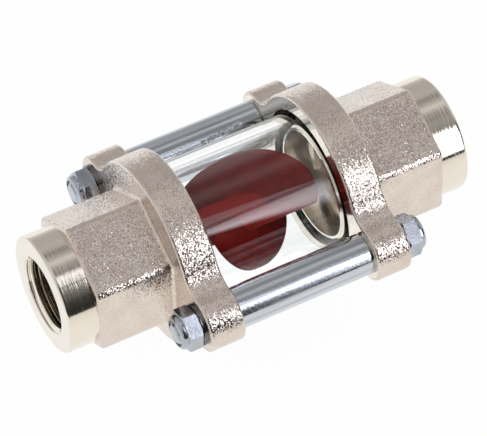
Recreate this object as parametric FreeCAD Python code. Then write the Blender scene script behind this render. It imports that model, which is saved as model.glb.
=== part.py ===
"""Impeller flow indicator: two cast pipe fittings clamp a glass tube in which a rotor turns.

The tube's axis is X, with the inlet at -X and the outlet at +X. The studs lie at -Y (front) and +Y (rear),
Z is up, and the origin is the middle of the glass. Lengths are in millimetres, angles in degrees.
"""
import FreeCAD
import Part
import math
import os

# Sight glass and its seat in each fitting
glass_diameter = 40.0
glass_wall = 2.8
glass_edge_chamfer = 0.4
glass_side_clearance = 1.0
gasket_thickness = 2.0
gasket_side_clearance = 0.2
seat_depth = 6.25
lip_clearance = 1.2
lip_wall = 1.2
lip_height = 5.95
lip_edge_chamfer = 0.5
bridge_ledge = 1.3

# Flange with its two lugs
flange_wall = 4.15
flange_thickness = 9.65
flange_rim_round = 0.7
lug_margin = 2.1
lug_blend_radius = 7.0

# Hexagon, port boss and pipe thread (inside thread G 1/2, shown at its minor diameter)
hex_wall = 3.0
hex_length = 21.2
hex_corner_round = 2.6
hex_end_round = 1.0
hex_root_round = 1.0
boss_step = 0.55
boss_length = 8.0
boss_edge_round = 0.7
thread_minor_diameter = 18.631
thread_length = 15.0
thread_mouth_chamfer = 1.3

# Studs, sleeves and lock nuts (M6)
stud_diameter = 6.0
stud_outset = 3.6
stud_clearance = 0.2
stud_projection = 0.3
stud_end_chamfer = 0.6
sleeve_wall = 2.3
sleeve_length = 38.3
sleeve_edge_chamfer = 0.5
washer_margin = 0.6
washer_thickness = 0.8
nut_thread_clearance = 0.05
nut_hex_height = 4.1
nut_shoulder = 0.37
nut_corner_chamfer_angle = 30.0
collar_height = 1.5
collar_wall = 0.55
collar_lip = 0.5
collar_round = 1.1
insert_wall = 1.0
insert_height = 1.3
insert_clearance = 0.03
nut_turns = {"front_inlet": 42.0, "front_outlet": 40.0, "rear_inlet": 12.0, "rear_outlet": 20.0}

# Rotor, axle and bearing bridges
rotor_tip_clearance = 2.4
hub_diameter = 10.0
hub_edge_round = 0.6
blade_count = 2
blade_thickness = 1.5
blade_end_gap = 4.0
blade_corner_round = 1.0
rotor_rest_angle = 45.5
axle_diameter = 3.0
axle_edge_chamfer = 0.3
axle_running_clearance = 0.05
axle_fixing_clearance = 0.02
rotor_end_float = 0.3
bridge_width = 5.0
bridge_thickness = 2.0
bridge_clearance = 0.1
bridge_nose_diameter = 6.4
bridge_nose_length = 6.1
bridge_angle = 126.0

# How far a cutting shape runs past the face that it opens, and how near an edge is to count as in a plane
cut_overrun = 1.0
same_plane = 1e-4

# Radii and stations that follow from the sizes above
glass_radius = glass_diameter / 2
glass_bore_radius = glass_radius - glass_wall
groove_radius = glass_radius + glass_side_clearance
flange_radius = groove_radius + flange_wall
stud_offset = flange_radius + stud_outset
stud_radius = stud_diameter / 2
stud_hole_radius = stud_radius + stud_clearance
sleeve_radius = stud_hole_radius + sleeve_wall
nut_bore_radius = stud_radius + nut_thread_clearance
insert_radius = nut_bore_radius + insert_wall
collar_bore_radius = insert_radius + insert_clearance
collar_radius = collar_bore_radius + collar_wall
nut_flat_radius = collar_radius + nut_shoulder
washer_radius = nut_flat_radius + washer_margin
lug_radius = washer_radius + lug_margin
lip_outer_radius = glass_bore_radius - lip_clearance
recess_radius = lip_outer_radius - lip_wall
ledge_radius = recess_radius - bridge_ledge
hex_across_flats = 2 * (ledge_radius + hex_wall)
boss_radius = hex_across_flats / 2 - boss_step
rotor_tip_radius = glass_bore_radius - rotor_tip_clearance
axle_radius = axle_diameter / 2
thread_minor_radius = thread_minor_diameter / 2

flange_inner_x = sleeve_length / 2
flange_outer_x = flange_inner_x + flange_thickness
groove_floor_x = flange_inner_x + seat_depth
glass_end_x = groove_floor_x - gasket_thickness
ledge_x = groove_floor_x + bridge_thickness
lip_top_x = groove_floor_x - lip_height
hex_end_x = flange_outer_x + hex_length
port_x = hex_end_x + boss_length
thread_start_x = port_x - thread_mouth_chamfer
thread_end_x = thread_start_x - thread_length
washer_outer_x = flange_outer_x + washer_thickness
collar_start_x = washer_outer_x + nut_hex_height
nut_end_x = collar_start_x + collar_height
stud_end_x = nut_end_x + stud_projection
insert_high_x = nut_end_x - collar_wall
insert_low_x = insert_high_x - insert_height
nose_end_x = groove_floor_x - bridge_nose_length
hub_end_x = nose_end_x - rotor_end_float
blade_pitch = math.atan2(rotor_tip_radius, hub_end_x - blade_end_gap)

origin = FreeCAD.Vector(0, 0, 0)
x_axis = FreeCAD.Vector(1, 0, 0)
y_axis = FreeCAD.Vector(0, 1, 0)


def turned(outline):
    """A solid turned about the tube's axis from a closed outline of (x, radius) points."""
    points = [FreeCAD.Vector(x, 0, radius) for x, radius in outline]
    wire = Part.makePolygon(points + points[:1])
    return Part.Face(wire).revolve(origin, x_axis, 360)


def bar(radius, x_low, x_high):
    """A plain round bar on the tube's axis."""
    return Part.makeCylinder(radius, x_high - x_low, FreeCAD.Vector(x_low, 0, 0), x_axis)


def rounded_polygon(corners, radius):
    """A closed wire through the corners, each rounded by a tangent arc."""
    edges = []
    starts = []
    ends = []
    for index, corner in enumerate(corners):
        to_last = (corners[index - 1] - corner).normalize()
        to_next = (corners[(index + 1) % len(corners)] - corner).normalize()
        half_angle = to_last.getAngle(to_next) / 2
        reach = radius / math.tan(half_angle)
        inward = (to_last + to_next).normalize()
        middle = corner + inward * (radius / math.sin(half_angle) - radius)
        starts.append(corner + to_last * reach)
        ends.append(corner + to_next * reach)
        edges.append(Part.Arc(starts[-1], middle, ends[-1]).toShape())
        if index:
            edges.append(Part.LineSegment(ends[index - 1], starts[index]).toShape())
    edges.append(Part.LineSegment(ends[-1], starts[0]).toShape())
    return Part.Wire(Part.__sortEdges__(edges))


def hexagon(across_flats, corner_round, x):
    """A rounded hexagon with flats facing the studs, in the plane at x."""
    corner_radius = across_flats / math.sqrt(3)
    angles = [math.radians(30 + 60 * step) for step in range(6)]
    corners = [FreeCAD.Vector(x, corner_radius * math.cos(a), corner_radius * math.sin(a)) for a in angles]
    return rounded_polygon(corners, corner_round)


def edges_at(shape, x, reach):
    """The edges that lie in the plane at x and no further than reach from the tube's axis."""
    found = []
    for edge in shape.Edges:
        box = edge.BoundBox
        middle = edge.valueAt((edge.FirstParameter + edge.LastParameter) / 2)
        flat = abs(box.XMin - x) < same_plane and abs(box.XMax - x) < same_plane
        if flat and math.hypot(middle.y, middle.z) < reach:
            found.append(edge)
    return found


def flange_outline(x):
    """The flange's round rim with a lug on each side, joined by hollow blend arcs, in the plane at x."""
    rim_to_blend = flange_radius + lug_blend_radius
    lug_to_blend = lug_radius + lug_blend_radius
    blend_cosine = (rim_to_blend**2 + stud_offset**2 - lug_to_blend**2) / (2 * rim_to_blend * stud_offset)
    blend_angle = math.acos(blend_cosine)
    blend_y = rim_to_blend * math.cos(blend_angle)
    blend_z = rim_to_blend * math.sin(blend_angle)
    lug_angle = math.atan2(blend_z, blend_y - stud_offset)

    def point(centre_y, centre_z, radius, angle):
        return FreeCAD.Vector(x, centre_y + radius * math.cos(angle), centre_z + radius * math.sin(angle))

    def blend_arc(side_y, side_z):
        on_rim = point(0, 0, flange_radius, blend_angle)
        on_lug = point(stud_offset, 0, lug_radius, lug_angle)
        centre = FreeCAD.Vector(x, blend_y, blend_z)
        toward = ((on_rim + on_lug) * 0.5 - centre).normalize()
        spots = [on_rim, centre + toward * lug_blend_radius, on_lug]
        return Part.Arc(*[FreeCAD.Vector(x, spot.y * side_y, spot.z * side_z) for spot in spots]).toShape()

    def lug_arc(side):
        angles = [-lug_angle, 0, lug_angle]
        spots = [point(stud_offset, 0, lug_radius, angle) for angle in angles]
        return Part.Arc(*[FreeCAD.Vector(x, spot.y * side, spot.z) for spot in spots]).toShape()

    def rim_arc(side):
        angles = [blend_angle, math.pi / 2, math.pi - blend_angle]
        spots = [point(0, 0, flange_radius, angle) for angle in angles]
        return Part.Arc(*[FreeCAD.Vector(x, spot.y, spot.z * side) for spot in spots]).toShape()

    edges = [blend_arc(side_y, side_z) for side_y in (1, -1) for side_z in (1, -1)]
    edges += [lug_arc(1), lug_arc(-1), rim_arc(1), rim_arc(-1)]
    return Part.Wire(Part.__sortEdges__(edges))


def make_flange():
    plate = Part.Face(flange_outline(flange_inner_x)).extrude(x_axis * flange_thickness)
    far_reach = stud_offset + 2 * lug_radius
    rims = edges_at(plate, flange_inner_x, far_reach) + edges_at(plate, flange_outer_x, far_reach)
    return plate.makeFillet(flange_rim_round, rims)


def make_wrench_hexagon():
    outline = hexagon(hex_across_flats, hex_corner_round, groove_floor_x)
    body = Part.Face(outline).extrude(x_axis * (hex_end_x - groove_floor_x))
    return body.makeFillet(hex_end_round, edges_at(body, hex_end_x, hex_across_flats))


def make_port_boss():
    boss = bar(boss_radius, flange_outer_x, port_x)
    return boss.makeFillet(boss_edge_round, edges_at(boss, port_x, hex_across_flats))


def make_passage():
    """The hollow inside a fitting: glass groove, recess with its ledge, cone and thread bore."""
    groove = turned([
        (flange_inner_x - cut_overrun, 0),
        (flange_inner_x - cut_overrun, groove_radius),
        (groove_floor_x, groove_radius),
        (groove_floor_x, lip_outer_radius),
        (lip_top_x + lip_edge_chamfer, lip_outer_radius),
        (lip_top_x, lip_outer_radius - lip_edge_chamfer),
        (lip_top_x, 0),
    ])
    waterway = turned([
        (lip_top_x - cut_overrun, 0),
        (lip_top_x - cut_overrun, recess_radius),
        (ledge_x, recess_radius),
        (ledge_x, ledge_radius),
        (thread_end_x, thread_minor_radius),
        (thread_start_x, thread_minor_radius),
        (port_x, thread_minor_radius + thread_mouth_chamfer),
        (port_x + cut_overrun, thread_minor_radius + thread_mouth_chamfer),
        (port_x + cut_overrun, 0),
    ])
    return groove.fuse(waterway)


def make_outlet_fitting():
    casting = make_flange().fuse(make_wrench_hexagon()).removeSplitter()
    root_reach = hex_across_flats / math.sqrt(3)
    casting = casting.makeFillet(hex_root_round, edges_at(casting, flange_outer_x, root_reach))
    casting = casting.fuse(make_port_boss()).removeSplitter()
    casting = casting.cut(make_passage())
    for side in (1, -1):
        hole = bar(stud_hole_radius, flange_inner_x, flange_outer_x)
        hole.translate(y_axis * (side * stud_offset))
        casting = casting.cut(hole)
    return casting


def make_sight_glass():
    chamfer = glass_edge_chamfer
    return turned([
        (-glass_end_x, glass_bore_radius + chamfer),
        (-glass_end_x, glass_radius - chamfer),
        (-glass_end_x + chamfer, glass_radius),
        (glass_end_x - chamfer, glass_radius),
        (glass_end_x, glass_radius - chamfer),
        (glass_end_x, glass_bore_radius + chamfer),
        (glass_end_x - chamfer, glass_bore_radius),
        (-glass_end_x + chamfer, glass_bore_radius),
    ])


def make_outlet_gasket():
    ring = bar(groove_radius - gasket_side_clearance, glass_end_x, groove_floor_x)
    return ring.cut(bar(lip_outer_radius + gasket_side_clearance, glass_end_x, groove_floor_x))


def make_stud():
    tip_radius = stud_radius - stud_end_chamfer
    return turned([
        (-stud_end_x, 0),
        (-stud_end_x, tip_radius),
        (-stud_end_x + stud_end_chamfer, stud_radius),
        (stud_end_x - stud_end_chamfer, stud_radius),
        (stud_end_x, tip_radius),
        (stud_end_x, 0),
    ])


def make_sleeve():
    chamfer = sleeve_edge_chamfer
    return turned([
        (-flange_inner_x, stud_hole_radius),
        (-flange_inner_x, sleeve_radius - chamfer),
        (-flange_inner_x + chamfer, sleeve_radius),
        (flange_inner_x - chamfer, sleeve_radius),
        (flange_inner_x, sleeve_radius - chamfer),
        (flange_inner_x, stud_hole_radius),
    ])


def make_washer():
    disc = bar(washer_radius, flange_outer_x, washer_outer_x)
    return disc.cut(bar(stud_hole_radius, flange_outer_x, washer_outer_x))


def make_lock_nut():
    """A hexagon nut with chamfered corners and a round collar that is rolled over the insert."""
    corner_radius = nut_flat_radius / math.cos(math.radians(30))
    corner_drop = (corner_radius - nut_flat_radius) * math.tan(math.radians(nut_corner_chamfer_angle))
    points = []
    for step in range(7):
        angle = math.radians(60 * step)
        corner_y = corner_radius * math.cos(angle)
        corner_z = corner_radius * math.sin(angle)
        points.append(FreeCAD.Vector(washer_outer_x, corner_y, corner_z))
    prism = Part.Face(Part.makePolygon(points)).extrude(x_axis * (nut_end_x - washer_outer_x))
    envelope = turned([
        (washer_outer_x, 0),
        (washer_outer_x, nut_flat_radius),
        (washer_outer_x + corner_drop, corner_radius),
        (collar_start_x - corner_drop, corner_radius),
        (collar_start_x, collar_radius),
        (nut_end_x, collar_radius),
        (nut_end_x, 0),
    ])
    nut = prism.common(envelope)
    nut = nut.makeFillet(collar_round, edges_at(nut, nut_end_x, corner_radius))
    nut = nut.cut(bar(nut_bore_radius, washer_outer_x, insert_low_x))
    nut = nut.cut(bar(collar_bore_radius, insert_low_x, insert_high_x))
    return nut.cut(bar(collar_bore_radius - collar_lip, insert_high_x, nut_end_x))


def make_nut_insert():
    high_x = insert_high_x - insert_clearance
    return bar(insert_radius, insert_low_x, high_x).cut(bar(nut_bore_radius, insert_low_x, high_x))


def make_rotor():
    """Hub with flat blades at a pitch, each trimmed to the round path in which it clears the glass."""
    hub = bar(hub_diameter / 2, -hub_end_x, hub_end_x)
    ends = edges_at(hub, -hub_end_x, hub_diameter) + edges_at(hub, hub_end_x, hub_diameter)
    rotor = hub.makeFillet(hub_edge_round, ends)
    chord_reach = rotor_tip_radius / math.sin(blade_pitch)
    corners = [
        FreeCAD.Vector(-chord_reach, 0, 0),
        FreeCAD.Vector(chord_reach, 0, 0),
        FreeCAD.Vector(chord_reach, 2 * rotor_tip_radius, 0),
        FreeCAD.Vector(-chord_reach, 2 * rotor_tip_radius, 0),
    ]
    plate = Part.Face(rounded_polygon(corners, blade_corner_round))
    plate.translate(FreeCAD.Vector(0, 0, -blade_thickness / 2))
    blade = plate.extrude(FreeCAD.Vector(0, 0, blade_thickness))
    blade.rotate(origin, y_axis, -math.degrees(blade_pitch))
    blade = blade.common(bar(rotor_tip_radius, -chord_reach, chord_reach))
    for step in range(blade_count):
        copy = blade.copy()
        copy.rotate(origin, x_axis, 360 * step / blade_count)
        rotor = rotor.fuse(copy)
    rotor = rotor.removeSplitter()
    rotor = rotor.cut(bar(axle_radius + axle_running_clearance, -hub_end_x, hub_end_x))
    rotor.rotate(origin, x_axis, rotor_rest_angle)
    return rotor


def make_rotor_axle():
    tip_radius = axle_radius - axle_edge_chamfer
    return turned([
        (-ledge_x, 0),
        (-ledge_x, tip_radius),
        (-ledge_x + axle_edge_chamfer, axle_radius),
        (ledge_x - axle_edge_chamfer, axle_radius),
        (ledge_x, tip_radius),
        (ledge_x, 0),
    ])


def make_outlet_bearing_bridge():
    """A bar across the recess, on its ledge, with a nose that carries the axle and meets the hub."""
    reach = recess_radius - bridge_clearance
    plate = Part.makeBox(bridge_thickness, 2 * reach, bridge_width,
                         FreeCAD.Vector(groove_floor_x, -reach, -bridge_width / 2))
    plate = plate.common(bar(reach, groove_floor_x, ledge_x))
    nose = bar(bridge_nose_diameter / 2, nose_end_x, groove_floor_x)
    bridge = plate.fuse(nose).removeSplitter()
    bridge = bridge.cut(bar(axle_radius + axle_fixing_clearance, nose_end_x, ledge_x))
    bridge.rotate(origin, x_axis, bridge_angle)
    return bridge


def at_inlet(shape):
    """The same piece at the other end of the tube."""
    return shape.mirror(origin, x_axis)


def on_stud(shape, side):
    """The piece moved from the tube's axis to the front (-1) or rear (1) stud."""
    moved = shape.copy()
    moved.translate(y_axis * (side * stud_offset))
    return moved


def make_pieces():
    pieces = {"sight_glass": make_sight_glass(), "rotor": make_rotor(), "rotor_axle": make_rotor_axle()}
    ends = {
        "fitting": make_outlet_fitting(),
        "gasket": make_outlet_gasket(),
        "bearing_bridge": make_outlet_bearing_bridge(),
    }
    for name, shape in ends.items():
        pieces["outlet_" + name] = shape
        pieces["inlet_" + name] = at_inlet(shape)
    stud = make_stud()
    sleeve = make_sleeve()
    washer = make_washer()
    nut = make_lock_nut()
    insert = make_nut_insert()
    for place, side in (("front", -1), ("rear", 1)):
        pieces[place + "_stud"] = on_stud(stud, side)
        pieces[place + "_sleeve"] = on_stud(sleeve, side)
        for end in ("inlet", "outlet"):
            turned_nut = nut.copy()
            turned_nut.rotate(origin, x_axis, nut_turns[place + "_" + end])
            fasteners = {"washer": washer, "nut": turned_nut, "nut_insert": insert}
            for name, shape in fasteners.items():
                seated = at_inlet(shape) if end == "inlet" else shape
                pieces[place + "_" + end + "_" + name] = on_stud(seated, side)
    return pieces


os.makedirs("parts", exist_ok=True)
for piece_name, piece in make_pieces().items():
    piece.exportStep("parts/" + piece_name + ".step")
    print(piece_name, "valid", piece.isValid(), "solids", len(piece.Solids))
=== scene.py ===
"""Studio scene of an impeller flow indicator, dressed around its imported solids.

The frame is the solids' own: metres, X along the tube from the inlet to the outlet, Z up.
Sizes of the part are in millimetres, places in materials and in the studio in metres.
"""
import bmesh
import bpy
import math
from mathutils import Matrix, Vector


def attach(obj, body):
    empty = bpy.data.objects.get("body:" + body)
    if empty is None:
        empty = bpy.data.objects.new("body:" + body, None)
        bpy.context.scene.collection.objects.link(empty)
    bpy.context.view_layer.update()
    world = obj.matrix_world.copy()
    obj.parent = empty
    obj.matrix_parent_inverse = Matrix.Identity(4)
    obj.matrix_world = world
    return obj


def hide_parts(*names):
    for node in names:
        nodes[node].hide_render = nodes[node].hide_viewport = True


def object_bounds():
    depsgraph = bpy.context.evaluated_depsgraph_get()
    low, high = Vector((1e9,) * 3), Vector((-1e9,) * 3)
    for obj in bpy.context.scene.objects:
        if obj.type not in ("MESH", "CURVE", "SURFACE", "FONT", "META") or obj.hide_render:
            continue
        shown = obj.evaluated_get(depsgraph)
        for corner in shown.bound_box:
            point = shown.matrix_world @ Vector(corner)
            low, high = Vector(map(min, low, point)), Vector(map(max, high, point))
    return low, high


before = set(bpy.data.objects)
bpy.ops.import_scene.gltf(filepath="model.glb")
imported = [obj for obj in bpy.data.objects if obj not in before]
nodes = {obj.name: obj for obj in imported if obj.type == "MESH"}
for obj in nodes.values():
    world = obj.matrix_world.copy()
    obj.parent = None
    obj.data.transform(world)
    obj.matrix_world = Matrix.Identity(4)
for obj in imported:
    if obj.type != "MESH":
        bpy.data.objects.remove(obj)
cad_low, cad_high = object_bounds()

MM = 0.001

# Fittings: faces along X
flange_inner_x = 19.15
lip_top_x = 19.45
groove_floor_x = 25.4
ledge_x = 27.4
flange_outer_x = 28.8
thread_end_x = 41.7
hex_end_x = 50.0
port_x = 58.0

# Fittings: the flange with its lugs, the hexagon and the boss
flange_radius = 25.15
rim_round = 0.7
lug_radius = 7.7
lug_blend_radius = 7.0
stud_offset = 28.75
stud_hole_radius = 3.2
hex_apothem = 16.5
hex_corner_round = 2.6
hex_root_round = 1.0
hex_end_round = 1.0
boss_radius = 15.95
boss_edge_round = 0.7
# The hexagon's rounded end stands at least this far out of the boss, so their rings never meet
boss_step = 0.004

# Fittings: the inside, from the groove for the glass to the port's mouth
groove_radius = 21.0
lip_outer_radius = 16.0
lip_edge_chamfer = 0.5
recess_radius = 14.8
ledge_radius = 13.5
thread_minor_radius = 9.3155
mouth_chamfer = 1.3

# Pipe thread G 1/2, which the solids show as a plain bore
thread_pitch = 1.814
thread_depth = 1.162
thread_runout = 2.4

# Sight glass
glass_end_x = 23.4
glass_radius = 20.0
glass_bore_radius = 17.2
glass_edge_round = 0.4

# Fineness of the meshes: points in a ring, steps in a round, rows and segments
outer_count = 600
inner_count = 200
rim_steps = 7
edge_steps = 6
glass_steps = 4
rows_per_pitch = 14
drill_segments = 96
# Shares of the way across the flange's outer face, from the rim to the hexagon, that have a ring
face_shares = (0, 0.03, 0.2, 0.4, 0.6, 0.8, 0.96, 1)
# Distance from a round's end to a further ring, which keeps the face beside the round from being
# shaded as curved
guard = 0.15

# Zones of a fitting's surface, which number its materials
cast_zone, turned_zone, faced_zone, satin_zone, thread_zone = range(5)


def flange_outline(angle, inset):
    """The flange outline's radius at a polar angle, with the outline drawn in by inset."""
    turn = math.atan2(abs(math.sin(angle)), abs(math.cos(angle)))
    to_blend = flange_radius + lug_blend_radius
    lug_to_blend = lug_radius + lug_blend_radius
    cosine = (to_blend**2 + stud_offset**2 - lug_to_blend**2) / (2 * to_blend * stud_offset)
    blend_angle = math.acos(cosine)
    if turn >= blend_angle:
        return flange_radius - inset
    lug = lug_radius - inset
    blend = lug_blend_radius + inset
    toward_y = to_blend * math.cos(blend_angle) - stud_offset
    toward_z = to_blend * math.sin(blend_angle)
    lug_angle = math.atan2(toward_z, toward_y)
    meet = math.atan2(lug * math.sin(lug_angle), stud_offset + lug * math.cos(lug_angle))
    if turn <= meet:
        across = stud_offset * math.sin(turn)
        return stud_offset * math.cos(turn) + math.sqrt(lug**2 - across**2)
    across = to_blend * math.sin(blend_angle - turn)
    return to_blend * math.cos(blend_angle - turn) - math.sqrt(max(blend**2 - across**2, 0.0))


def hex_outline(angle, grow):
    """The hexagon's radius at a polar angle, with its outline moved out by grow."""
    apothem = hex_apothem + grow
    corner = hex_corner_round + grow
    step = math.radians(60)
    turn = abs((angle + step / 2) % step - step / 2)
    flat_end = math.atan2((apothem - corner) * math.tan(step / 2), apothem)
    if turn <= flat_end:
        return apothem / math.cos(turn)
    centre = (apothem - corner) / math.cos(step / 2)
    across = centre * math.sin(step / 2 - turn)
    return centre * math.cos(step / 2 - turn) + math.sqrt(corner**2 - across**2)


def blended(first, second, share):
    """An outline that lies the share of the way from the first to the second."""
    return lambda angle: first(angle) * (1 - share) + second(angle) * share


def circle(radius):
    """A round outline."""
    return lambda angle: radius


class Ring:
    """A closed loop round the X axis, with an outline that gives its radius at a polar angle.

    The band from it to the next ring has its zone, and a crease keeps its edge sharp.
    """

    def __init__(self, x, outline, zone, crease=False, count=outer_count):
        self.x = x
        self.outline = outline
        self.zone = zone
        self.crease = crease
        self.count = count


def new_object(name, data):
    """An object with this data, placed in the scene."""
    obj = bpy.data.objects.new(name, data)
    bpy.context.scene.collection.objects.link(obj)
    return obj


def finished_mesh(name, mesh):
    """Mesh data from a bmesh, which is freed."""
    data = bpy.data.meshes.new(name)
    mesh.to_mesh(data)
    mesh.free()
    return data


def loft(name, rings, side, materials):
    """A piece through the rings and back to the first one.

    Side is 1 for the outlet, and -1 for its mirror image at the inlet.
    """
    weld_distance = 1e-7
    mesh = bmesh.new()
    loops = []
    for ring in rings:
        loop = []
        for index in range(ring.count):
            angle = 2 * math.pi * index / ring.count
            radius = ring.outline(angle)
            place = Vector((side * ring.x, radius * math.cos(angle), radius * math.sin(angle)))
            loop.append(mesh.verts.new(place * MM))
        loops.append(loop)
    for ring, loop, following in zip(rings, loops, loops[1:] + loops[:1]):
        band(mesh, loop, following, ring.zone, side)
    for ring, loop in zip(rings, loops):
        if ring.crease:
            for index, vert in enumerate(loop):
                mesh.edges.get((vert, loop[index - 1])).smooth = False
    bmesh.ops.remove_doubles(mesh, verts=mesh.verts, dist=weld_distance)
    bmesh.ops.recalc_face_normals(mesh, faces=mesh.faces)
    data = finished_mesh(name, mesh)
    for material in materials:
        data.materials.append(material)
    return new_object(name, data)


def band(mesh, first, second, zone, side):
    """Faces between two loops. One may have several times as many points as the other."""
    few = min(len(first), len(second))
    first_step = len(first) // few
    second_step = len(second) // few
    for index in range(few):
        near = [first[(index * first_step + k) % len(first)] for k in range(first_step + 1)]
        far = [second[(index * second_step + k) % len(second)] for k in range(second_step + 1)]
        corners = near + far[::-1]
        if side > 0:
            corners = corners[::-1]
        face = mesh.faces.new(corners)
        face.material_index = zone
        face.smooth = True


def straight(x_from, x_to, outline, zone):
    """Rings of a straight stretch between two rounds, with a guard at each end."""
    return [Ring(x, outline, zone) for x in (x_from, x_from + guard, x_to - guard, x_to)]


def round_over(x_from, x_to, shape, insets, steps, zone, from_face):
    """Rings of a quarter round, which draws a shape in from the first inset to the second.

    It starts on a face square to the axis, or else on a side along the axis.
    """
    rings = []
    for step in range(1, steps):
        turn = math.pi / 2 * step / steps
        early, late = math.sin(turn), 1 - math.cos(turn)
        along, inward = (late, early) if from_face else (early, late)
        x = x_from + (x_to - x_from) * along
        inset = insets[0] + (insets[1] - insets[0]) * inward
        rings.append(Ring(x, shape(inset), zone))
    return rings


def fitting_rings(side):
    """All rings of a fitting, from its flange's inner face out to the port and back inside."""

    def flange(inset):
        return lambda angle: flange_outline(angle, inset)

    def hexagon(grow):
        return lambda angle: hex_outline(angle, grow)

    def hex_or_boss(inset):
        return lambda angle: max(hex_outline(angle, -inset), boss_radius + boss_step)

    def boss(inset):
        return circle(boss_radius - inset)

    def inner_ring(x, radius, zone):
        return Ring(x, circle(radius), zone, True, inner_count)

    rim_from = flange_inner_x + rim_round
    rim_to = flange_outer_x - rim_round
    hex_from = flange_outer_x + hex_root_round
    hex_to = hex_end_x - hex_end_round
    boss_to = port_x - boss_edge_round

    rings = [Ring(flange_inner_x, flange(rim_round + guard), cast_zone)]
    rings.append(Ring(flange_inner_x, flange(rim_round), cast_zone))
    rings += round_over(flange_inner_x, rim_from, flange, (rim_round, 0), rim_steps,
                        cast_zone, from_face=True)
    rings += straight(rim_from, rim_to, flange(0), cast_zone)
    rings += round_over(rim_to, flange_outer_x, flange, (0, rim_round), rim_steps,
                        cast_zone, from_face=False)
    for share in face_shares:
        outline = blended(flange(rim_round), hexagon(hex_root_round), share)
        rings.append(Ring(flange_outer_x, outline, cast_zone))
    rings += round_over(flange_outer_x, hex_from, hexagon, (hex_root_round, 0), edge_steps,
                        cast_zone, from_face=True)
    rings += straight(hex_from, hex_to, hexagon(0), cast_zone)
    rings += round_over(hex_to, hex_end_x, hex_or_boss, (0, hex_end_round), edge_steps,
                        cast_zone, from_face=False)
    rings.append(Ring(hex_end_x, hex_or_boss(hex_end_round), cast_zone))
    rings.append(Ring(hex_end_x, boss(0), turned_zone, crease=True))
    rings.append(Ring(boss_to - guard, boss(0), turned_zone))
    rings.append(Ring(boss_to, boss(0), turned_zone))
    rings += round_over(boss_to, port_x, boss, (0, boss_edge_round), edge_steps,
                        turned_zone, from_face=False)
    rings.append(Ring(port_x, boss(boss_edge_round), turned_zone, crease=True))
    rings.append(inner_ring(port_x, thread_minor_radius + mouth_chamfer, turned_zone))
    rings += thread_rings(side)
    # The waterway's cone, from the thread's end to the ledge
    rings[-1].zone = satin_zone
    rings.append(inner_ring(ledge_x, ledge_radius, satin_zone))
    rings.append(inner_ring(ledge_x, recess_radius, satin_zone))
    rings.append(inner_ring(lip_top_x, recess_radius, faced_zone))
    rings.append(inner_ring(lip_top_x, lip_outer_radius - lip_edge_chamfer, faced_zone))
    rings.append(inner_ring(lip_top_x + lip_edge_chamfer, lip_outer_radius, faced_zone))
    rings.append(inner_ring(groove_floor_x, lip_outer_radius, faced_zone))
    rings.append(inner_ring(groove_floor_x, groove_radius, faced_zone))
    rings.append(inner_ring(flange_inner_x, groove_radius, faced_zone))
    return rings


def thread_rings(side):
    """Rings down the threaded port: the mouth's cone, the right-hand thread and its run-out."""
    rings = []
    length = port_x - thread_end_x
    rows = round(length / thread_pitch * rows_per_pitch)
    for row in range(1, rows + 1):
        x = port_x - length * row / rows
        mouth = thread_minor_radius + mouth_chamfer - (port_x - x)
        depth = thread_depth * min((x - thread_end_x) / thread_runout, 1.0)

        def outline(angle, x=x, mouth=mouth, depth=depth):
            phase = 2 * math.pi * side * x / thread_pitch - angle
            return max(mouth, thread_minor_radius + depth * (1 - math.cos(phase)) / 2)

        zone = turned_zone if port_x - x < mouth_chamfer else thread_zone
        rings.append(Ring(x, outline, zone, count=inner_count))
    return rings


def drill_lugs(fitting, side):
    """Cuts the stud holes through a fitting's lugs and keeps their edges sharp."""
    drill_overhang = 1.0
    off_wall_limit = 0.02
    off_face_limit = 0.001
    tool = bmesh.new()
    length = flange_outer_x - flange_inner_x + 2 * drill_overhang
    middle = (flange_outer_x + flange_inner_x) / 2
    radius = stud_hole_radius * MM
    for lug in (1, -1):
        place = Matrix.Translation(Vector((side * middle, lug * stud_offset, 0)) * MM)
        place = place @ Matrix.Rotation(math.pi / 2, 4, "Y")
        bmesh.ops.create_cone(tool, cap_ends=True, segments=drill_segments, radius1=radius,
                              radius2=radius, depth=length * MM, matrix=place)
    drills = new_object("drills", finished_mesh("drills", tool))
    cut = fitting.modifiers.new("stud_holes", "BOOLEAN")
    cut.operation = "DIFFERENCE"
    cut.object = drills
    evaluated = fitting.evaluated_get(bpy.context.evaluated_depsgraph_get())
    drilled = bpy.data.meshes.new_from_object(evaluated)
    fitting.modifiers.clear()
    fitting.data = drilled
    bpy.data.objects.remove(drills)
    on_edge = []
    for vert in drilled.vertices:
        spot = vert.co / MM
        off_wall = abs(math.hypot(abs(spot.y) - stud_offset, spot.z) - stud_hole_radius)
        off_face = min(abs(abs(spot.x) - face_x) for face_x in (flange_inner_x, flange_outer_x))
        on_edge.append(off_wall < off_wall_limit and off_face < off_face_limit)
    for edge in drilled.edges:
        if all(on_edge[index] for index in edge.vertices):
            edge.use_edge_sharp = True


def glass_rings():
    """Rings of the tube: over one end from the outside to the bore, and back over the other."""
    straight_end_x = glass_end_x - glass_edge_round
    quarter = [math.pi / 2 * step / glass_steps for step in range(glass_steps + 1)]
    half = [(straight_end_x - guard, glass_radius)]
    for turn in quarter:
        x = straight_end_x + glass_edge_round * math.sin(turn)
        half.append((x, glass_radius - glass_edge_round * (1 - math.cos(turn))))
    half.append((glass_end_x, glass_radius - glass_edge_round - guard))
    half.append((glass_end_x, glass_bore_radius + glass_edge_round + guard))
    for turn in quarter:
        x = straight_end_x + glass_edge_round * math.cos(turn)
        half.append((x, glass_bore_radius + glass_edge_round * (1 - math.sin(turn))))
    half.append((straight_end_x - guard, glass_bore_radius))
    profile = half + [(-x, radius) for x, radius in half[::-1]]
    return [Ring(x, circle(radius), zone=0, count=inner_count) for x, radius in profile]


black = (0, 0, 0, 1)
white = (1, 1, 1, 1)
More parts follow.
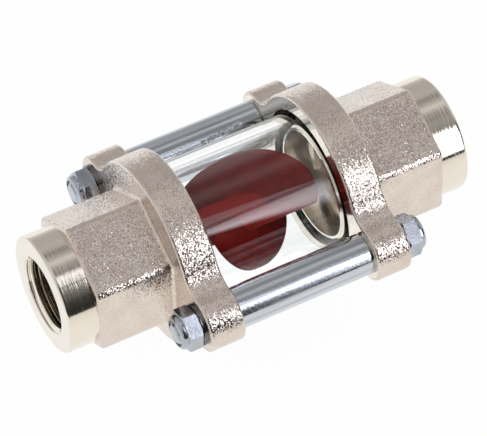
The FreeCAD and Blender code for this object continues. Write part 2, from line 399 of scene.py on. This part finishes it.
# Most of a noise's values lie in this range
noise_range = (0.3, 0.7)


class Shading:
    """The nodes of a new material or world: short calls add them and set or link their inputs."""

    # Sockets of a Mix node for colours
    mix_share, mix_first, mix_second, mixed = 0, 6, 7, 2

    def __init__(self, owner):
        owner.use_nodes = True
        self.tree = owner.node_tree
        self.tree.nodes.clear()

    def add(self, kind, inputs=None, **settings):
        """A new node. An input has a name or number, and is a constant or a socket to link."""
        made = self.tree.nodes.new(kind)
        for name, value in settings.items():
            setattr(made, name, value)
        for key, value in (inputs or {}).items():
            if isinstance(value, bpy.types.NodeSocket):
                self.tree.links.new(value, made.inputs[key])
            else:
                made.inputs[key].default_value = value
        return made

    def place(self):
        """The point's place in the object's own frame, which is the solids' frame."""
        return self.add("ShaderNodeTexCoord").outputs["Object"]

    def axes(self, vector):
        """The X, Y and Z of a vector."""
        return self.add("ShaderNodeSeparateXYZ", {"Vector": vector}).outputs

    def math(self, operation, *values):
        """The result of an operation on one to three numbers."""
        return self.add("ShaderNodeMath", dict(enumerate(values)), operation=operation).outputs[0]

    def vector(self, operation, *values):
        """The result of an operation on one to three vectors: a vector or a number."""
        made = self.add("ShaderNodeVectorMath", dict(enumerate(values)), operation=operation)
        return made.outputs["Value" if operation in ("DOT_PRODUCT", "LENGTH") else "Vector"]

    def off_axis(self, where):
        """The distance of a place from the X axis."""
        return self.vector("LENGTH", self.vector("MULTIPLY", where, (0, 1, 1)))

    def spread(self, value, source, target=(0.0, 1.0), smooth=False):
        """The value, moved from the source range to the target range and held inside it."""
        inputs = {"Value": value, "From Min": source[0], "From Max": source[1],
                  "To Min": target[0], "To Max": target[1]}
        kind = "SMOOTHSTEP" if smooth else "LINEAR"
        return self.add("ShaderNodeMapRange", inputs, interpolation_type=kind).outputs["Result"]

    def mix(self, share, first, second, kind="MIX"):
        """A colour between two others, or their product."""
        inputs = {self.mix_share: share, self.mix_first: first, self.mix_second: second}
        made = self.add("ShaderNodeMix", inputs, data_type="RGBA", blend_type=kind)
        return made.outputs[self.mixed]

    def noise(self, where, scale=1.0, detail=2.0, roughness=0.5):
        """Noise from 0 to 1 over a place."""
        inputs = {"Vector": where, "Scale": scale, "Detail": detail, "Roughness": roughness}
        return self.add("ShaderNodeTexNoise", inputs).outputs["Fac"]

    def stretched(self, where, scale):
        """A place with its own scale along each axis."""
        return self.add("ShaderNodeMapping", {"Vector": where, "Scale": scale}).outputs["Vector"]

    def ramp(self, value, stops):
        """A grey profile over a value from 0 to 1: pairs of place and brightness."""
        made = self.add("ShaderNodeValToRGB", {"Fac": value})
        elements = made.color_ramp.elements
        while len(elements) < len(stops):
            elements.new(1.0)
        for element, (place, level) in zip(elements, stops):
            element.position = place
            element.color = (level, level, level, 1)
        return made.outputs["Color"]

    def bump(self, height, strength, distance, normal=None):
        """A normal that leans with a height, away from the surface's own or the one given."""
        inputs = {"Height": height, "Strength": strength, "Distance": distance}
        if normal is not None:
            inputs["Normal"] = normal
        return self.add("ShaderNodeBump", inputs).outputs["Normal"]

    def rays(self):
        """Tells which kind of ray meets the surface."""
        return self.add("ShaderNodeLightPath").outputs

    def principled(self, **inputs):
        """The main shader. An underscore in an input's name stands for a space."""
        named = {name.replace("_", " "): value for name, value in inputs.items()}
        return self.add("ShaderNodeBsdfPrincipled", named)

    def emission(self, colour, strength):
        """A shader that glows."""
        return self.add("ShaderNodeEmission", {"Color": colour, "Strength": strength})

    def mix_shaders(self, share, first, second):
        """A shader between two others."""
        inputs = {0: share, 1: first.outputs[0], 2: second.outputs[0]}
        return self.add("ShaderNodeMixShader", inputs)

    def show(self, shader, output="ShaderNodeOutputMaterial"):
        """Gives the material or world its shader."""
        self.add(output, {"Surface": shader.outputs[0]})


def new_material(name):
    """An empty material and its shading."""
    material = bpy.data.materials.new(name)
    return material, Shading(material)


def cast_nickel():
    """Nickel plate over a sand-cast skin: fine sparkling grain, shallow pits with painted shade
    in them, and slow waves.
    """
    wave_height = 0.5
    least_lean, lean_gain = 0.18, 0.3
    dull, bright = (0.73, 0.645, 0.585, 1), (0.82, 0.745, 0.685, 1)
    material, make = new_material("cast_nickel")
    where = make.place()
    grain = make.noise(where, scale=3300, detail=0.0)
    waves = make.noise(where, scale=260)
    height = make.math("ADD", grain, make.math("MULTIPLY", waves, wave_height))
    # Each grain is a facet that leans its own way, and a steep one is made steeper still
    facets = make.add("ShaderNodeTexVoronoi", {"Vector": where, "Scale": 3500}).outputs["Color"]
    lean = make.vector("SUBTRACT", facets, (0.5, 0.5, 0.5))
    lean_squared = make.vector("DOT_PRODUCT", lean, lean)
    steep = make.math("MULTIPLY_ADD", lean_squared, lean_gain, least_lean)
    upright = make.add("ShaderNodeNewGeometry").outputs["Normal"]
    leaning = make.vector("NORMALIZE", make.vector("MULTIPLY_ADD", lean, steep, upright))
    tone = make.spread(make.noise(where, scale=170, detail=3.0), noise_range)
    # Painted shade: the low spots of the grain are mixed a little towards black, as shade in the
    # pits
    pit_shade = make.spread(grain, noise_range, (0.9, 1.0))
    colour = make.mix(pit_shade, black, make.mix(tone, dull, bright))
    rough = make.spread(make.noise(where, scale=900), noise_range, (0.08, 0.16))
    bump = make.bump(height, strength=1.0, distance=0.00004, normal=leaning)
    make.show(make.principled(Metallic=1.0, Base_Color=colour, Roughness=rough, Normal=bump))
    return material


def turned_nickel(name, relief, matt, dark=(0.79, 0.73, 0.64, 1), light=(0.90, 0.85, 0.77, 1)):
    """Nickel plate over machined faces: fine rings that the tool left, and faint stains."""
    broken_height = 0.35
    matt_range = 0.08
    material, make = new_material(name)
    where = make.place()
    along = make.axes(where)["X"]
    section = make.add("ShaderNodeCombineXYZ", {"X": along, "Y": make.off_axis(where)})
    rings = make.noise(section.outputs["Vector"], scale=2300, roughness=0.6)
    broken = make.noise(where, scale=420, detail=3.0, roughness=0.6)
    height = make.math("ADD", rings, make.math("MULTIPLY", broken, broken_height))
    colour = make.mix(make.noise(where, scale=140, detail=3.0), dark, light)
    rough = make.spread(rings, noise_range, (matt, matt + matt_range))
    bump = make.bump(height, strength=relief, distance=0.00006)
    make.show(make.principled(Metallic=1.0, Base_Color=colour, Roughness=rough, Normal=bump))
    return material


def rear_sleeve_scuff(make, where):
    """Height of the short strokes in a scuffed strip, which climbs the rear sleeve along X."""
    middle_x = 0.0067
    half_length = (0.0050, 0.0065)
    turn_at_origin = 0.704
    turn_per_metre = 18.6
    half_turn = (0.05, 0.12)
    depth = 12.0
    fading = (1.0, 0.0)
    x, y, z = make.axes(where)
    turn = make.math("ARCTAN2", z, make.math("SUBTRACT", stud_offset * MM, y))
    strip = make.math("MULTIPLY_ADD", x, turn_per_metre, turn_at_origin)
    off_strip = make.math("ABSOLUTE", make.math("SUBTRACT", turn, strip))
    off_middle = make.math("ABSOLUTE", make.math("SUBTRACT", x, middle_x))
    across = make.spread(off_strip, half_turn, fading)
    along = make.spread(off_middle, half_length, fading)
    inside = make.math("MULTIPLY", across, along)
    strokes = make.noise(make.stretched(where, (2000, 600, 600)), detail=0.0)
    height = make.math("MULTIPLY", make.math("SUBTRACT", strokes, 0.5), depth)
    return make.math("MULTIPLY", inside, height)


def plated_steel(name, dark, light, line_scale, relief, scuff=None):
    """Plated or ground steel with fine lines, flecks and, where given, a scuffed place.

    The lines run along the axis that has the smallest scale.
    """
    fleck_height = 0.6
    material, make = new_material(name)
    where = make.place()
    drawn = make.stretched(where, line_scale)
    lines = make.noise(drawn, roughness=0.6)
    mottle = make.noise(drawn, scale=0.4, detail=3.0, roughness=0.6)
    fleck = make.noise(where, scale=2400, detail=1.0)
    colour = make.mix(make.spread(mottle, noise_range), dark, light)
    rough = make.spread(lines, noise_range, (0.10, 0.20))
    height = make.math("ADD", lines, make.math("MULTIPLY", fleck, fleck_height))
    if scuff:
        height = make.math("ADD", height, scuff(make, where))
    bump = make.bump(height, strength=relief, distance=0.00006)
    make.show(make.principled(Metallic=1.0, Base_Color=colour, Roughness=rough, Normal=bump))
    return material


def red_plastic():
    """Moulded red plastic, satin, with flow marks and fine scuffs, and painted light on the hub.
    """
    hub_edge = (0.0051, 0.0056)
    hub_painted_light = (0.32, 0.010, 0.007, 1)
    dark_blade = (0.17, 0.003, 0.002, 1)
    light_blade = (0.24, 0.007, 0.004, 1)
    material, make = new_material("red_plastic")
    where = make.place()
    flow = make.noise(make.stretched(where, (120, 420, 420)), detail=3.0)
    fine = make.noise(where, scale=3200)
    blade = make.mix(make.spread(flow, noise_range), dark_blade, light_blade)
    # Painted light: the hub is a lighter red than the blades, as the front light falling on it
    colour = make.mix(make.spread(make.off_axis(where), hub_edge), hub_painted_light, blade)
    rough = make.spread(fine, noise_range, (0.40, 0.55))
    bump = make.bump(fine, strength=0.25, distance=0.00004)
    make.show(make.principled(Base_Color=colour, Specular_IOR_Level=0.03, Roughness=rough,
                              Normal=bump))
    return material


def speckled(name, grain, dark, light, matt, relief, distance):
    """Rubber or plastic with one fine grain in its colour, its gloss and its relief."""
    material, make = new_material(name)
    fine = make.noise(make.place(), **grain)
    colour = make.mix(fine, dark, light)
    rough = make.spread(fine, noise_range, matt)
    bump = make.bump(fine, strength=relief, distance=distance)
    make.show(make.principled(Base_Color=colour, Roughness=rough, Normal=bump))
    return material


def clear_glass():
    """Drawn glass, with faint lines along the draw and a trace of dust. It lets light through."""
    dusty = (0.58, 0.8)
    material, make = new_material("clear_glass")
    where = make.place()
    lines = make.noise(make.stretched(where, (8, 900, 900)))
    dust = make.noise(where, scale=700, detail=4.0, roughness=0.7)
    rough = make.spread(dust, dusty, (0.0, 0.06))
    bump = make.bump(lines, strength=0.12, distance=0.00003)
    solid = make.principled(Base_Color=(0.99, 1, 0.995, 1), Transmission_Weight=1.0, IOR=1.47,
                            Roughness=rough, Normal=bump)
    open_to_light = make.add("ShaderNodeBsdfTransparent", {"Color": (0.96, 0.98, 0.975, 1)})
    make.show(make.mix_shaders(make.rays()["Is Shadow Ray"], solid, open_to_light))
    return material


def dress(names, material):
    """Gives nodes of the solids their material."""
    for name in names:
        nodes[name].data.materials[0] = material


def panel(name, corners, material):
    """A flat sheet of the studio."""
    data = bpy.data.meshes.new(name)
    data.from_pydata(corners, [], [tuple(range(len(corners)))])
    data.materials.append(material)
    return new_object(name, data)


def make_floor():
    """The white floor, which keeps the part's shadow.

    In metal it is white beside the part, turns from cream to grey in front of it, and ends there
    in a dark edge, as a table does.
    """
    reach = 3.0
    gap = 0.0002
    white_y = (-0.04, 0.01)
    grey_y = (-0.05, -0.2)
    edge_y = (-0.19, -0.215)
    cream = (0.97, 0.95, 0.91, 1)
    grey = (0.80, 0.775, 0.735, 1)
    dark = (0.03, 0.03, 0.03, 1)
    glow_share = 0.95
    # Seen openly and through the glass
    glow_levels = (1.02, 1.1)
    material, make = new_material("floor_white")
    depth = make.axes(make.place())["Y"]
    rays = make.rays()
    through = rays["Is Transmission Ray"]
    in_metal = make.math("MULTIPLY", rays["Is Glossy Ray"], make.math("SUBTRACT", 1.0, through))
    front = make.mix(make.spread(depth, grey_y), cream, grey)
    mirrored = make.mix(make.spread(depth, white_y), front, white)
    tone = make.mix(in_metal, white, mirrored)
    glow = make.emission(tone, make.spread(through, (0.0, 1.0), glow_levels))
    paint = make.add("ShaderNodeBsdfDiffuse", {"Color": (0.88, 0.88, 0.87, 1)})
    seen = make.math("MAXIMUM", rays["Is Camera Ray"], rays["Is Glossy Ray"])
    seen = make.math("MAXIMUM", seen, through)
    top = make.mix_shaders(make.math("MULTIPLY", seen, glow_share), paint, glow)
    past_edge = make.spread(depth, edge_y, smooth=True)
    hidden = make.math("MULTIPLY", past_edge, in_metal)
    make.show(make.mix_shaders(hidden, top, make.emission(dark, 1.0)))
    height = cad_low.z - gap
    corners = [(-reach, -reach, height), (reach, -reach, height), (reach, reach, height),
               (-reach, reach, height)]
    floor = panel("floor", corners, material)


def make_light_card():
    """A large soft light in front and to the right, seen in the bosses, sleeves and glass.

    Its left edge is soft and leans, and its brightness changes from its foot to its top.
    """
    distance = 0.7
    facing = Vector((0.331, -0.853, 0.401))
    across = Vector((0.932, 0.362, 0.0))
    upward = Vector((-0.145, 0.373, 0.916))
    foot, top = -0.385, 0.690
    outline = [(0.060, top), (0.080, 0.510), (0.084, 0.325), (0.122, 0.204), (0.150, 0.100),
               (0.150, foot), (0.005, foot), (-0.036, 0.120), (-0.075, top)]
    levels = [(0, 0.5), (0.30, 0.6), (0.38, 0.9), (0.45, 1.0), (0.50, 0.95), (0.555, 0.7),
              (0.58, 0.55), (0.605, 0.16), (0.64, 0.2), (0.675, 0.34), (0.71, 0.25),
              (0.76, 0.27), (0.85, 0.28), (1, 0.2)]
    brightness = 4.8
    pale_blue = (0.96, 0.95, 1, 1)
    # Pairs of ranges: how far the left edge leans over a height, how bright it is across it
    lower_lean = ((foot, 0.0), (-0.006, 0.010))
    upper_lean = ((0.0, 0.30), (0.0, 0.024))
    soft_edge = ((-0.013, 0.013), (0.0, 1.15))
    past_edge = ((0.012, 0.04), (1.0, 0.82))
    material, make = new_material("light_card")
    where = make.place()
    aside = make.vector("DOT_PRODUCT", where, across)
    rise = make.vector("DOT_PRODUCT", where, upward)
    inside = make.math("ADD", aside, make.spread(rise, *lower_lean))
    inside = make.math("ADD", inside, make.spread(rise, *upper_lean))
    soft = make.spread(inside, *soft_edge, smooth=True)
    level = make.ramp(make.spread(rise, (foot, top)), levels)
    fade = make.spread(inside, *past_edge)
    strength = make.math("MULTIPLY", make.math("MULTIPLY", soft, level),
                         make.math("MULTIPLY", fade, brightness))
    make.show(make.emission(pale_blue, strength))
    corners = [facing * distance + across * a + upward * b for a, b in outline]
    card = panel("light_card", corners, material)
    card.visible_camera = False


def make_world():
    """A studio: dark in front, a dim ceiling with one bright strip, and grey behind.

    The strip ends to both sides, the far left is plain grey, and the camera sees plain white.
    The levels go by the angle over the part, in degrees from the front horizon to the back one.
    """
    middle_levels = [(0, 0.03), (15, 0.05), (25, 0.12), (35, 0.2), (45, 0.28), (65, 0.33),
                     (75, 0.25), (85, 0.35), (93, 0.64), (97, 0.72), (103, 0.5), (113, 0.28),
                     (118, 0.26), (124, 0.44), (132, 0.5), (150, 0.46), (165, 0.46),
                     (173, 0.55), (180, 0.8)]
    side_levels = [(0, 0.03), (20, 0.03), (45, 0.08), (60, 0.5), (85, 0.75), (110, 0.6),
                   (130, 0.55), (150, 0.55), (180, 0.65)]
    middle_x = 0.31
    beside_middle = (0.03, 0.2)
    left_x = (-0.45, -0.75)
    left_grey = (0.7, 0.7, 0.7, 1)
    warm = (1, 0.965, 0.94, 1)
    behind_climb = (2.0, 2.4)
    world = bpy.data.worlds.new("studio")
    bpy.context.scene.world = world
    make = Shading(world)
    x, y, z = make.axes(make.add("ShaderNodeTexCoord").outputs["Generated"])
    climb = make.math("ARCTAN2", z, make.math("MULTIPLY", y, -1.0))
    share = make.spread(climb, (0.0, math.pi))
    middle = make.ramp(share, [(angle / 180, level) for angle, level in middle_levels])
    sides = make.ramp(share, [(angle / 180, level) for angle, level in side_levels])
    off_middle = make.math("ABSOLUTE", make.math("SUBTRACT", x, middle_x))
    studio = make.mix(make.spread(off_middle, beside_middle, smooth=True), middle, sides)
    studio = make.mix(make.spread(x, left_x, smooth=True), studio, left_grey)
    studio = make.mix(1.0, studio, warm, "MULTIPLY")
    rays = make.rays()
    behind = make.spread(climb, behind_climb, smooth=True)
    behind_glass = make.math("MULTIPLY", rays["Is Transmission Ray"], behind)
    seen = make.math("MAXIMUM", rays["Is Camera Ray"], behind_glass)
    colour = make.mix(seen, studio, white)
    glow = make.add("ShaderNodeBackground", {"Color": colour, "Strength": 1.0})
    make.show(glow, "ShaderNodeOutputWorld")


def make_camera():
    """The camera at the photograph's place."""
    place = (-0.25542, -0.51846, 0.58350)
    right = Vector((0.87784674, -0.47725803, -0.04012308))
    down = Vector((-0.36501657, -0.61244549, -0.70119429))
    forward = Vector((0.31007741, 0.63018671, -0.71184037))
    data = bpy.data.cameras.new("camera")
    data.sensor_fit = "HORIZONTAL"
    data.sensor_width = 36.0
    data.lens = 235.2
    data.clip_start = 0.01
    data.clip_end = 20.0
    camera = new_object("camera", data)
    turned_to = Matrix((right, -down, -forward)).transposed().to_4x4()
    camera.matrix_world = Matrix.Translation(place) @ turned_to
    bpy.context.scene.camera = camera


# Materials
cast = cast_nickel()
turned = turned_nickel("turned_nickel", relief=0.4, matt=0.06)
faced = turned_nickel("faced_nickel", relief=0.12, matt=0.03)
satin = turned_nickel("satin_nickel", relief=0.25, matt=0.18,
                      dark=(0.86, 0.79, 0.70, 1), light=(0.96, 0.90, 0.82, 1))
# Painted shade: the thread is far darker than the other turned faces, as shade inside the port
threaded = turned_nickel("thread_painted_shade", relief=0.3, matt=0.12,
                         dark=(0.34, 0.29, 0.22, 1), light=(0.48, 0.42, 0.33, 1))
sleeve_look = {"dark": (0.50, 0.55, 0.62, 1), "light": (0.70, 0.74, 0.80, 1),
               "line_scale": (45, 1500, 1500), "relief": 0.6}
zinc_sleeve = plated_steel("zinc_sleeve", **sleeve_look)
scuffed_sleeve = plated_steel("scuffed_sleeve", **sleeve_look, scuff=rear_sleeve_scuff)
zinc_nut = plated_steel("zinc_nut", dark=(0.38, 0.42, 0.48, 1), light=(0.56, 0.60, 0.66, 1),
                        line_scale=(700, 700, 700), relief=0.15)
# Painted shade: the washers are dark grey, as shade at the foot of each nut
washer_painted_shade = plated_steel("washer_painted_shade", dark=(0.16, 0.16, 0.17, 1), light=(0.28, 0.28, 0.29, 1),
                           line_scale=(900, 900, 900), relief=0.3)
axle_steel = plated_steel("axle_steel", dark=(0.52, 0.52, 0.52, 1), light=(0.68, 0.68, 0.67, 1),
                          line_scale=(2400, 300, 300), relief=0.3)
red = red_plastic()
rubber = speckled("grey_rubber", {"scale": 2400, "detail": 4.0, "roughness": 0.6},
                  dark=(0.10, 0.10, 0.085, 1), light=(0.18, 0.18, 0.155, 1),
                  matt=(0.55, 0.8), relief=0.3, distance=0.00006)
nylon = speckled("white_nylon", {"scale": 1800, "detail": 3.0},
                 dark=(0.66, 0.67, 0.66, 1), light=(0.80, 0.81, 0.80, 1),
                 matt=(0.35, 0.5), relief=0.2, distance=0.00004)
glass = clear_glass()

# Fittings with their threads and stud holes
fitting_materials = [cast, turned, faced, satin, threaded]
for end, side in (("outlet", 1), ("inlet", -1)):
    fitting = loft(end + "_casting", fitting_rings(side), side, fitting_materials)
    drill_lugs(fitting, side)
    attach(fitting, "housing")
    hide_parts(end + "_fitting")

# Sight glass
tube = loft("glass_tube", glass_rings(), 1, [glass])
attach(tube, "housing")
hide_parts("sight_glass")

# Solids that keep their own meshes
places = [a + "_" + b for a in ("front", "rear") for b in ("inlet", "outlet")]
dress(["front_sleeve"], zinc_sleeve)
dress(["rear_sleeve"], scuffed_sleeve)
dress(["front_stud", "rear_stud"] + [place + "_nut" for place in places], zinc_nut)
dress([place + "_washer" for place in places], washer_painted_shade)
dress([place + "_nut_insert" for place in places], nylon)
dress(["inlet_gasket", "outlet_gasket"], rubber)
dress(["inlet_bearing_bridge", "outlet_bearing_bridge"], satin)
dress(["rotor_axle"], axle_steel)
dress(["rotor"], red)

# Studio
make_floor()
make_light_card()
make_world()
make_camera()
bpy.context.scene.view_settings.view_transform = "Standard"
